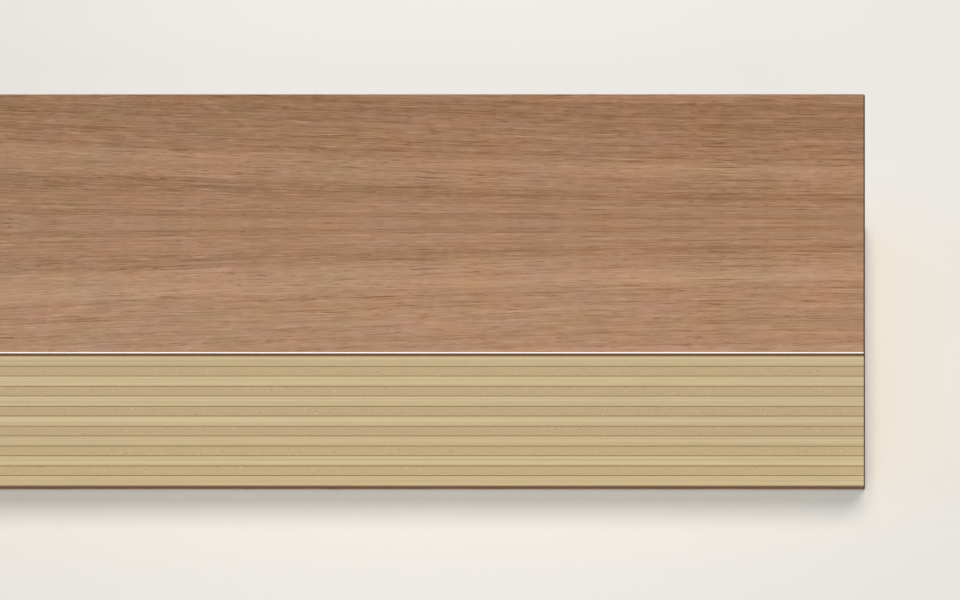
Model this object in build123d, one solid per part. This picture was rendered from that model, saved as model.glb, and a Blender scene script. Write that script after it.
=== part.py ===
"""A cut sheet of multi-ply plywood, lying flat on its back veneer.

+X runs along the grain of the two face veneers, +Y across the sheet and +Z up. The origin is the centre of the
underside. Every veneer and every film of glue is a solid of its own, laid one on the other from the floor up.
"""

import os

from build123d import *

# The sheet as it is cut, in millimetres.
SHEET_LENGTH = 300.0
SHEET_WIDTH = 100.0

# The lay-up. An odd count of core plies gives the outermost two the same grain, which keeps the sheet flat.
# The press squeezes the plies that lie across the sheet a little thinner than the ones along it.
FACE_VENEER_THICKNESS = 0.45
LONG_GRAIN_PLY_THICKNESS = 1.30
CROSS_GRAIN_PLY_THICKNESS = 1.22
CORE_PLY_COUNT = 13
GLUE_FILM_THICKNESS = 0.12

# The saw leaves every arris sharp, and a stroke of sandpaper takes this much off it.
ARRIS_CHAMFER = 0.15


def lay_up():
    """The layers from the floor up, each as its name and thickness, with a film of glue between every two veneers."""
    long_grain = ("long_grain", LONG_GRAIN_PLY_THICKNESS)
    cross_grain = ("cross_grain", CROSS_GRAIN_PLY_THICKNESS)
    veneers = [("back_veneer", FACE_VENEER_THICKNESS)]
    for number in range(1, CORE_PLY_COUNT + 1):
        grain, thickness = long_grain if number % 2 else cross_grain
        veneers.append((f"core_ply_{number:02d}_{grain}", thickness))
    veneers.append(("face_veneer", FACE_VENEER_THICKNESS))

    layers = []
    for number, veneer in enumerate(veneers):
        if number:
            layers.append((f"glue_film_{number:02d}", GLUE_FILM_THICKNESS))
        layers.append(veneer)
    return layers


def sheet_outline():
    """The sawn outline that all the layers share, with its four upright arrises eased."""
    blank = Rectangle(SHEET_LENGTH, SHEET_WIDTH)
    return chamfer(blank.vertices(), ARRIS_CHAMFER)


def pressed_layer(underside, thickness):
    """A layer of the pressed sheet: the shared outline, from the height of its underside up."""
    return Pos(0, 0, underside) * extrude(sheet_outline(), thickness)


def eased(veneer, outer_face):
    """The veneer with the arris all round its outer face taken off at 45 degrees."""
    arrises = veneer.faces().sort_by(Axis.Z)[outer_face].edges()
    return chamfer(arrises, ARRIS_CHAMFER)


def build_sheet():
    """Every layer as a solid at its height, by name."""
    solids = {}
    height = 0.0
    for name, thickness in lay_up():
        solids[name] = pressed_layer(height, thickness)
        height += thickness

    lowest, highest = 0, -1
    solids["back_veneer"] = eased(solids["back_veneer"], lowest)
    solids["face_veneer"] = eased(solids["face_veneer"], highest)
    return solids


os.makedirs("parts", exist_ok=True)
for name, solid in build_sheet().items():
    solid.label = name
    export_step(solid, f"parts/{name}.step")
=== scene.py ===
"""The looks of a cut sheet of plywood: book-matched hardwood veneers over a core of peeled birch."""

import math

import bpy
from mathutils import Matrix, Vector


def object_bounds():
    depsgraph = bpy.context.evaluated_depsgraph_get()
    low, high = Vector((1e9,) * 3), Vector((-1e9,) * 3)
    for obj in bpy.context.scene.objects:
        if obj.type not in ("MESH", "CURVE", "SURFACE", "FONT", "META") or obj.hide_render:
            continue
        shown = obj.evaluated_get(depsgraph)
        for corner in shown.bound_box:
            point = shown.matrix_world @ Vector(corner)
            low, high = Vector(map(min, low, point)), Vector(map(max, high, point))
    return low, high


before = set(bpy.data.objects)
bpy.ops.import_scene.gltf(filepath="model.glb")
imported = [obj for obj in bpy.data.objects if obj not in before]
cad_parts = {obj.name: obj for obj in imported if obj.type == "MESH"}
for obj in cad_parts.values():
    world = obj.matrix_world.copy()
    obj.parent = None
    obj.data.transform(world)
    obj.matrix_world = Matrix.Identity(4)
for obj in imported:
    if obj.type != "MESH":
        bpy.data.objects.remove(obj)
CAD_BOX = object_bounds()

LOW, HIGH = CAD_BOX
MM = 0.001

# Sizes in millimetres, read from the frame.
HALF_LENGTH = (HIGH.x - LOW.x) / 2 / MM
HALF_WIDTH = (HIGH.y - LOW.y) / 2 / MM
THICKNESS = (HIGH.z - LOW.z) / MM

# The chamfer along every arris, the strip of it that sandpaper rubbed smooth and that carries a painted
# highlight, and how deep the saw's colour shows on the sides and, with painted shade, on the ends.
ARRIS = 0.15
RUBBED_HIGHLIGHT_STRIP = 0.135
SAWN_SIDE = 0.02
SCORCHED_AND_SHADED_END = ARRIS + 0.03

# The face is two leaves of one log, opened like a book. Their joint lies just in front of the sheet's middle.
JOINT = -0.7

# How the lines of growth lean: their slope in the middle, the share of the lean lost at the sheet's ends, the
# least lean and how softly it sets in, how near the joint they straighten out, and how far they wander.
LEAN = 0.1
LEAN_LOST = 0.2
LEAST_LEAN = -2.0
LEAN_SOFTNESS = 4.0
STRAIGHT_BY_JOINT = 6.0
WANDER = 1.4

# Depths of relief in millimetres.
VENEER_RELIEF = 0.006
END_GRAIN_RELIEF = 0.01
OPEN_VESSEL_DEPTH = 0.02
GLUE_RELIEF = 0.01

# In metres: where the lamps look, how far off they stand, and the floor with its painted pool of light.
LAMP_AIM = Vector((0.09, 0, 0.01))
LAMP_DISTANCE = 4.0
FLOOR_REACH = 6.0
FLOOR_DROP = 0.01 * MM
PAINTED_LIGHT_POOL = Vector((0.094, 0.06, 0))
PAINTED_LIGHT_POOL_LENGTH = 0.07
PAINTED_LIGHT_POOL_WIDTH = 0.15

# Settings of a node that mixes two colours: the colour comes out of its third output.
IN_COLOUR = {"out": 2, "data_type": "RGBA"}


def linear(colour):
    """A colour written as sRGB hex, as the linear red, green, blue and alpha that a shader takes."""
    shares = [int(colour[i : i + 2], 16) / 255 for i in (1, 3, 5)]
    return [s / 12.92 if s <= 0.04045 else ((s + 0.055) / 1.055) ** 2.4 for s in shares] + [1.0]


def add(tree, kind, sockets, out=0, **settings):
    """Adds a node with its settings, fills or links its sockets, and returns the output asked for."""
    made = tree.nodes.new("ShaderNode" + kind)
    for name, value in settings.items():
        setattr(made, name, value)
    for name, value in sockets.items():
        if isinstance(value, bpy.types.NodeSocket):
            tree.links.new(value, made.inputs[name])
        else:
            made.inputs[name].default_value = value
    return made.outputs[out]


def new_material(name):
    """An empty material and its node tree."""
    material = bpy.data.materials.new(name)
    material.use_nodes = True
    material.node_tree.nodes.clear()
    return material, material.node_tree


def finish(tree, colour, height, roughness, specular):
    """Ends a tree: its colour, its relief in metres and its gloss, on one shader."""
    normal = add(tree, "Bump", {"Height": height, "Strength": 1.0, "Distance": 1.0})
    sockets = {"Base Color": colour, "Roughness": roughness, "Normal": normal, "IOR": 1.5}
    sockets["Specular IOR Level"] = specular
    shader = add(tree, "BsdfPrincipled", sockets)
    output = tree.nodes.new("ShaderNodeOutputMaterial")
    tree.links.new(shader, output.inputs["Surface"])


def millimetres(tree):
    """The place on the piece in millimetres, whole and as its x, y and z."""
    place = add(tree, "TexCoord", {}, out="Object")
    place = add(tree, "VectorMath", {0: place, 1: (1 / MM,) * 3}, operation="MULTIPLY")
    split = tree.nodes.new("ShaderNodeSeparateXYZ")
    tree.links.new(place, split.inputs[0])
    return place, split.outputs["X"], split.outputs["Y"], split.outputs["Z"]


def off_centre(tree, x, y):
    """How far a place lies from the middle of the sheet, along it and across it."""
    far_x = add(tree, "Math", {0: x}, operation="ABSOLUTE")
    far_y = add(tree, "Math", {0: y}, operation="ABSOLUTE")
    return far_x, far_y


def noise(tree, place, size, offset=0.0, detail=0.0):
    """Noise from 0 to 1 with features of the given size in millimetres along x, y and z."""
    sockets = {0: place, 1: [1 / s for s in size], 2: (offset,) * 3}
    scaled = add(tree, "VectorMath", sockets, operation="MULTIPLY_ADD")
    sockets = {"Vector": scaled, "Scale": 1.0, "Detail": detail, "Roughness": 0.6}
    return add(tree, "TexNoise", sockets, out="Fac")


def swing(tree, place, size, amount, total, offset, detail=0.0):
    """Adds to the total a noise that swings evenly about nought by the given amount."""
    wave = noise(tree, place, size, offset, detail)
    wave = add(tree, "Math", {0: wave, 1: amount, 2: -amount / 2}, operation="MULTIPLY_ADD")
    return add(tree, "Math", {0: wave, 1: total}, operation="ADD")


def marks(tree, place, size, rarity, offset):
    """Scattered marks from 0 to 1 with soft rims, where a noise stands higher than the rarity."""
    wave = noise(tree, place, size, offset)
    sockets = {"Value": wave, "From Min": rarity, "From Max": rarity + 0.13}
    return add(tree, "MapRange", sockets, interpolation_type="SMOOTHSTEP")


def scorch_and_shade(tree, colour, far_x, far_y):
    """Darkens the upright arrises, scorched by the saw as it left the cut and also darkened as painted shade.
    """
    last_end = add(tree, "Math", {0: far_x, 1: HALF_LENGTH - ARRIS}, operation="GREATER_THAN")
    last_side = add(tree, "Math", {0: far_y, 1: HALF_WIDTH - ARRIS}, operation="GREATER_THAN")
    scorched_and_shaded = add(tree, "Math", {0: last_end, 1: last_side}, operation="MULTIPLY")
    return add(tree, "Mix", {0: scorched_and_shaded, 6: colour, 7: linear("#33251B")}, **IN_COLOUR)


def figure_of_the_leaf(tree, x, y, z):
    """The place on a leaf of veneer, bent so that its second coordinate keeps its value along a growth line.

    The distance from the joint serves both leaves, so that one mirrors the other. The lines of growth lean
    towards the joint and straighten out near it and near the ends of the sheet. The lean has a least value, so
    that the second coordinate doesn't turn back on itself beside the joint at the left-hand end.
    """
    leaf = add(tree, "Math", {0: y, 1: -JOINT}, operation="ADD")
    leaf = add(tree, "Math", {0: leaf}, operation="ABSOLUTE")
    along = add(tree, "Math", {0: x, 1: 1 / HALF_LENGTH}, operation="MULTIPLY")
    straighter = add(tree, "Math", {0: along, 1: 5.0}, operation="POWER")
    lean = add(tree, "Math", {0: straighter, 1: -LEAN_LOST, 2: along}, operation="MULTIPLY_ADD")
    lean = add(tree, "Math", {0: lean, 1: LEAN * HALF_LENGTH}, operation="MULTIPLY")
    lean = add(tree, "Math", {0: lean, 1: LEAST_LEAN, 2: LEAN_SOFTNESS}, operation="SMOOTH_MAX")
    near = add(tree, "Math", {0: leaf, 1: 1 / STRAIGHT_BY_JOINT}, operation="MULTIPLY")
    near = add(tree, "Math", {0: near}, operation="TANH")
    growth = add(tree, "Math", {0: lean, 1: near, 2: leaf}, operation="MULTIPLY_ADD")
    folded = add(tree, "CombineXYZ", {"X": x, "Y": leaf, "Z": z})
    growth = swing(tree, folded, (25, 6, 40), WANDER, growth, 0.5, 1.0)
    return add(tree, "CombineXYZ", {"X": x, "Y": growth, "Z": z})


def sliced_hardwood():
    """Brown hardwood, sliced and sanded: long streaks along the growth, fine dark vessels and pale flecks."""
    material, tree = new_material("hardwood_veneer_sliced_and_sanded")
    _, x, y, z = millimetres(tree)
    far_x, far_y = off_centre(tree, x, y)
    leaf = figure_of_the_leaf(tree, x, y, z)

    # A slow change from the darker rear of the sheet to the paler front, and broad bands of growth. The bands
    # run the whole length of the sheet, and their noises' offsets place them.
    tone = add(tree, "Math", {0: y, 1: -0.0022, 2: 0.5}, operation="MULTIPLY_ADD")
    tone = swing(tree, leaf, (1000, 8, 9), 0.16, tone, 0.4)
    tone = swing(tree, leaf, (1000, 3, 9), 0.19, tone, 24.3)
    tone = swing(tree, leaf, (1000, 2.6, 9), 0.11, tone, 42.3)

    # Streaks, from ones as long as the sheet down to single fibres.
    tone = swing(tree, leaf, (300, 0.9, 9), 0.20, tone, 2.2)
    tone = swing(tree, leaf, (60, 2.5, 9), 0.14, tone, 5.1)
    tone = swing(tree, leaf, (9, 0.55, 9), 0.12, tone, 2.1, 1.0)
    tone = swing(tree, leaf, (1.5, 0.28, 9), 0.25, tone, 4.4, 1.0)
    tone = swing(tree, leaf, (1.6, 1.6, 9), 0.20, tone, 1.4, 1.0)

    # Vessels: dark lines and dashes that crowd in places. Pale lines and flecks are fibres cut at a slant.
    crowd = noise(tree, leaf, (14, 2.2, 9), 3.3, 1.0)
    crowd = add(tree, "MapRange", {"Value": crowd, "From Min": 0.38, "From Max": 0.62, "To Min": 0.3})
    lines = marks(tree, leaf, (14, 0.38, 9), 0.62, 3.1)
    dashes = marks(tree, leaf, (5.5, 0.36, 9), 0.62, 1.7)
    dashes = add(tree, "Math", {0: dashes, 1: crowd}, operation="MULTIPLY")
    dots = marks(tree, leaf, (1.4, 0.34, 9), 0.65, 7.7)
    dots = add(tree, "Math", {0: dots, 1: crowd}, operation="MULTIPLY")
    pale_lines = marks(tree, leaf, (14, 0.34, 9), 0.60, 4.1)
    pale_flecks = marks(tree, leaf, (3.5, 0.34, 9), 0.64, 2.7)
    strengths = ((lines, -0.13), (dashes, -0.27), (dots, -0.24), (pale_lines, 0.09), (pale_flecks, 0.17))
    for mark, paler in strengths:
        tone = add(tree, "Math", {0: mark, 1: paler, 2: tone}, operation="MULTIPLY_ADD")

    ramp = tree.nodes.new("ShaderNodeValToRGB")
    tree.links.new(tone, ramp.inputs["Fac"])
    ramp.color_ramp.elements[0].position = 0.2
    ramp.color_ramp.elements[0].color = linear("#805935")
    ramp.color_ramp.elements[1].position = 0.8
    ramp.color_ramp.elements[1].color = linear("#C29C7C")
    middle = ramp.color_ramp.elements.new(0.5)
    middle.color = linear("#A77F5E")

    # Pink and ochre patches, and more red towards the right-hand end.
    red = swing(tree, leaf, (8, 9, 9), 0.21, 1.0, 1.1, 1.0)
    red = add(tree, "Math", {0: x, 1: 0.0003, 2: red}, operation="MULTIPLY_ADD")
    blue = swing(tree, leaf, (8, 9, 9), 0.34, 1.0, 6.1, 1.0)
    blue = add(tree, "Math", {0: x, 1: -0.0004, 2: blue}, operation="MULTIPLY_ADD")
    tint = add(tree, "CombineXYZ", {"X": red, "Y": 1.0, "Z": blue})
    colour = add(tree, "VectorMath", {0: ramp.outputs["Color"], 1: tint}, operation="MULTIPLY")

    # Sandpaper has rubbed the long upper arrises smooth and glossier; their strip is painted near white, a
    # painted highlight.
    upper = add(tree, "Math", {0: z, 1: THICKNESS / 2}, operation="GREATER_THAN")
    rim = add(tree, "Math", {0: far_y, 1: HALF_WIDTH - RUBBED_HIGHLIGHT_STRIP}, operation="GREATER_THAN")
    rim = add(tree, "Math", {0: rim, 1: upper}, operation="MULTIPLY")
    colour = add(tree, "Mix", {0: rim, 6: colour, 7: linear("#FFF7EF")}, **IN_COLOUR)
    gloss = add(tree, "Mix", {0: rim, 2: 0.65, 3: 0.2}, out=0)

    # The sawn sides are darker, the back veneer's a little less so, and the ends are dark, scorched by the saw
    # and with painted shade.
    # The back veneer's side is painted paler than the top veneer's: painted light that lifts the shade near
    # the floor.
    sawn = add(tree, "Mix", {0: upper, 6: linear("#745440"), 7: linear("#6A4830")}, **IN_COLOUR)
    side = add(tree, "Math", {0: far_y, 1: HALF_WIDTH - SAWN_SIDE}, operation="GREATER_THAN")
    colour = add(tree, "Mix", {0: side, 6: colour, 7: sawn}, **IN_COLOUR)
    end = add(tree, "Math", {0: far_x, 1: HALF_LENGTH - SCORCHED_AND_SHADED_END}, operation="GREATER_THAN")
    colour = add(tree, "Mix", {0: end, 6: colour, 7: linear("#3E2E22")}, **IN_COLOUR)

    vessels = add(tree, "Math", {0: lines, 1: dashes}, operation="MAXIMUM")
    height = add(tree, "Math", {0: vessels, 1: -VENEER_RELIEF * MM}, operation="MULTIPLY")
    height = add(tree, "Math", {0: tone, 1: VENEER_RELIEF * MM, 2: height}, operation="MULTIPLY_ADD")
    finish(tree, colour, height, gloss, specular=0.15)
    return material


def peeled_birch(along):
    """Birch peeled from the log. Cut along its grain it shows pale streaks, and across it darker end grain."""
    material, tree = new_material("birch_ply_sawn_along_grain" if along else "birch_ply_sawn_across_grain")
    place, x, y, z = millimetres(tree)
    far_x, far_y = off_centre(tree, x, y)

    # Streaks run with the side they are seen on, so x and y share one stretch.
    streaks = swing(tree, place, (300, 300, 0.42), 1.1, 0.5, 1.3)
    streaks = swing(tree, place, (90, 90, 0.2), 0.9, streaks, 4.7)
    streaks = swing(tree, place, (9, 9, 0.3), 0.4, streaks, 2.3, 1.0)
    pale = add(tree, "Mix", {0: streaks, 6: linear("#B8A178"), 7: linear("#D0BA90")}, **IN_COLOUR)

    # End grain: fine cells, a few open vessels and the pale dust that fills others.
    cells = swing(tree, place, (0.35, 0.35, 0.25), 0.9, 0.5, 0.0, 2.0)
    deep = add(tree, "Mix", {0: cells, 6: linear("#B59C73"), 7: linear("#BFA77E")}, **IN_COLOUR)
    vessels = marks(tree, place, (0.55, 0.55, 0.2), 0.70, 3.7)
    deep = add(tree, "Mix", {0: vessels, 6: deep, 7: linear("#AD946D")}, **IN_COLOUR)
    dust = marks(tree, place, (0.3, 0.3, 0.2), 0.74, 8.9)
    deep = add(tree, "Mix", {0: dust, 6: deep, 7: linear("#D6C094")}, **IN_COLOUR)

    # The two ends of the sheet show the grain that its long sides don't.
    on_sides, on_ends = (pale, deep) if along else (deep, pale)
    end = add(tree, "Math", {0: far_x, 1: HALF_LENGTH - ARRIS / 2}, operation="GREATER_THAN")
    colour = add(tree, "Mix", {0: end, 6: on_sides, 7: on_ends}, **IN_COLOUR)
    colour = scorch_and_shade(tree, colour, far_x, far_y)

    # The plies are painted paler from the middle of the sheet down to its underside: painted light that lifts
    # the shade near the floor.
    sockets = {"Value": z, "From Min": 0.0, "From Max": 9.0, "To Min": 1.2, "To Max": 1.0}
    paler = add(tree, "MapRange", sockets)
    colour = add(tree, "VectorMath", {0: colour, "Scale": paler}, operation="SCALE")

    height = add(tree, "Math", {0: cells, 1: END_GRAIN_RELIEF * MM}, operation="MULTIPLY")
    height = add(tree, "Math", {0: vessels, 1: -OPEN_VESSEL_DEPTH * MM, 2: height}, operation="MULTIPLY_ADD")
    finish(tree, colour, height, roughness=0.7, specular=0.3)
    return material


def cured_resin():
    """Phenolic glue, pressed hot: a thin dark brown film, paler where fibres cross it."""
    material, tree = new_material("phenolic_glue_pressed")
    place, x, y, _ = millimetres(tree)
    far_x, far_y = off_centre(tree, x, y)
    soak = swing(tree, place, (1.2, 1.2, 1), 1.0, 0.5, 0.0, 2.0)
    colour = add(tree, "Mix", {0: soak, 6: linear("#7A6238"), 7: linear("#927A48")}, **IN_COLOUR)
    colour = scorch_and_shade(tree, colour, far_x, far_y)
    height = add(tree, "Math", {0: soak, 1: GLUE_RELIEF * MM}, operation="MULTIPLY")
    finish(tree, colour, height, roughness=0.5, specular=0.5)
    return material


def dress_frame():
    """Gives every solid of the frame the material that it is made of."""
    materials = {
        "veneer": sliced_hardwood(),
        "long_grain": peeled_birch(along=True),
        "cross_grain": peeled_birch(along=False),
        "glue_film": cured_resin(),
    }
    for name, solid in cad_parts.items():
        kind = next(kind for kind in materials if kind in name)
        solid.data.materials.clear()
        solid.data.materials.append(materials[kind])


def floor_with_painted_light_pool():
    """Pale floor colour with a painted pool of light: it darkens a little away from a spot behind the right
    half of the sheet.
    """
    material, tree = new_material("pale_floor_with_painted_light_pool")
    place = add(tree, "TexCoord", {}, out="Object")
    stretch = (1 / PAINTED_LIGHT_POOL_LENGTH, 1 / PAINTED_LIGHT_POOL_WIDTH, 0)
    away = add(tree, "VectorMath", {0: place, 1: -PAINTED_LIGHT_POOL}, operation="ADD")
    away = add(tree, "VectorMath", {0: away, 1: stretch}, operation="MULTIPLY")
    away = add(tree, "VectorMath", {0: away}, out="Value", operation="LENGTH")
    sockets = {"Value": away, "From Min": 0.4, "From Max": 1.5}
    away = add(tree, "MapRange", sockets, interpolation_type="SMOOTHSTEP")
    colour = add(tree, "Mix", {0: away, 6: linear("#F8F4EB"), 7: linear("#EBE7DE")}, **IN_COLOUR)
    shader = add(tree, "BsdfPrincipled", {"Base Color": colour, "Roughness": 0.9, "Specular IOR Level": 0.0})
    output = tree.nodes.new("ShaderNodeOutputMaterial")
    tree.links.new(shader, output.inputs["Surface"])
    return material


def lay_floor():
    """A pale floor with a painted pool of light, that takes the shadow, a hair below the sheet so that the two
    don't share a plane.
    """
    mesh = bpy.data.meshes.new("floor")
    reach, height = FLOOR_REACH, -FLOOR_DROP
    turns = ((-1, -1), (1, -1), (1, 1), (-1, 1))
    corners = [(reach * x, reach * y, height) for x, y in turns]
    mesh.from_pydata(corners, [], [(0, 1, 2, 3)])
    floor = bpy.data.objects.new("floor", mesh)
    bpy.context.scene.collection.objects.link(floor)
    mesh.materials.append(floor_with_painted_light_pool())


def light_world():
    """A pale room: its light on the object, and its colour to the camera."""
    world = bpy.data.worlds.new("pale_room")
    bpy.context.scene.world = world
    world.use_nodes = True
    tree = world.node_tree
    tree.nodes.clear()
    path = tree.nodes.new("ShaderNodeLightPath")
    seen = add(tree, "Background", {"Color": linear("#ECE8E3"), "Strength": 1.0})
    felt = add(tree, "Background", {"Color": linear("#D4E7FF"), "Strength": 0.43})
    mixed = add(tree, "MixShader", {0: path.outputs["Is Camera Ray"], 1: felt, 2: seen})
    output = tree.nodes.new("ShaderNodeOutputWorld")
    tree.links.new(mixed, output.inputs["Surface"])


def add_lamp(name, azimuth, elevation, size, power, colour):
    """A soft lamp of the given width and height, that looks at the sheet from afar. Azimuth 0 is the front."""
    light = bpy.data.lights.new(name, "AREA")
    light.shape = "RECTANGLE"
    light.size, light.size_y = size
    light.energy = power
    light.color = linear(colour)[:3]
    lamp = bpy.data.objects.new(name, light)
    a, e = math.radians(azimuth), math.radians(elevation)
    away = Vector((math.sin(a) * math.cos(e), -math.cos(a) * math.cos(e), math.sin(e)))
    lamp.location = LAMP_AIM + away * LAMP_DISTANCE
    lamp.rotation_mode = "QUATERNION"
    lamp.rotation_quaternion = away.to_track_quat("Z", "Y")
    bpy.context.scene.collection.objects.link(lamp)


def add_camera():
    """A long lens, standing in the plane of the sheet's right-hand end so that the end is seen edge on."""
    aim = Vector((0.099794, -0.0302, HIGH.z))
    distance = 3.131
    elevation = math.radians(20.074)
    level = math.cos(elevation)
    aside = math.asin((HIGH.x - aim.x) / (distance * level))
    back = Vector((math.sin(aside) * level, -math.cos(aside) * level, math.sin(elevation)))
    up = Vector((1, 0, 0)).cross(-back).normalized()
    right = (-back).cross(up)
    camera = bpy.data.objects.new("camera", bpy.data.cameras.new("camera"))
    camera.data.lens = 900
    camera.data.sensor_width = 36
    camera.data.clip_start = 0.1
    camera.data.clip_end = 30
    turn = Matrix((right, up, back)).transposed().to_4x4()
    camera.matrix_world = Matrix.Translation(aim + back * distance) @ turn
    bpy.context.scene.collection.objects.link(camera)
    bpy.context.scene.camera = camera


def set_scene():
    """The dressed sheet on its floor, its lamps and its camera."""
    bpy.context.scene.view_settings.view_transform = "Standard"
    dress_frame()
    lay_floor()
    light_world()
    add_lamp("key", 173, 65, (1.0, 1.9), 90, "#FFF3E5")
    add_lamp("low_front", 0, 10, (2.0, 0.9), 78.5, "#FFFFFF")
    add_lamp("right_fill", 90, 35, (2.0, 2.0), 12, "#EAF2FF")
    add_lamp("arris_glint", 0, 70, (0.5, 0.5), 12.5, "#FFFFFF")
    add_camera()


set_scene()
bpy.context.view_layer.update()
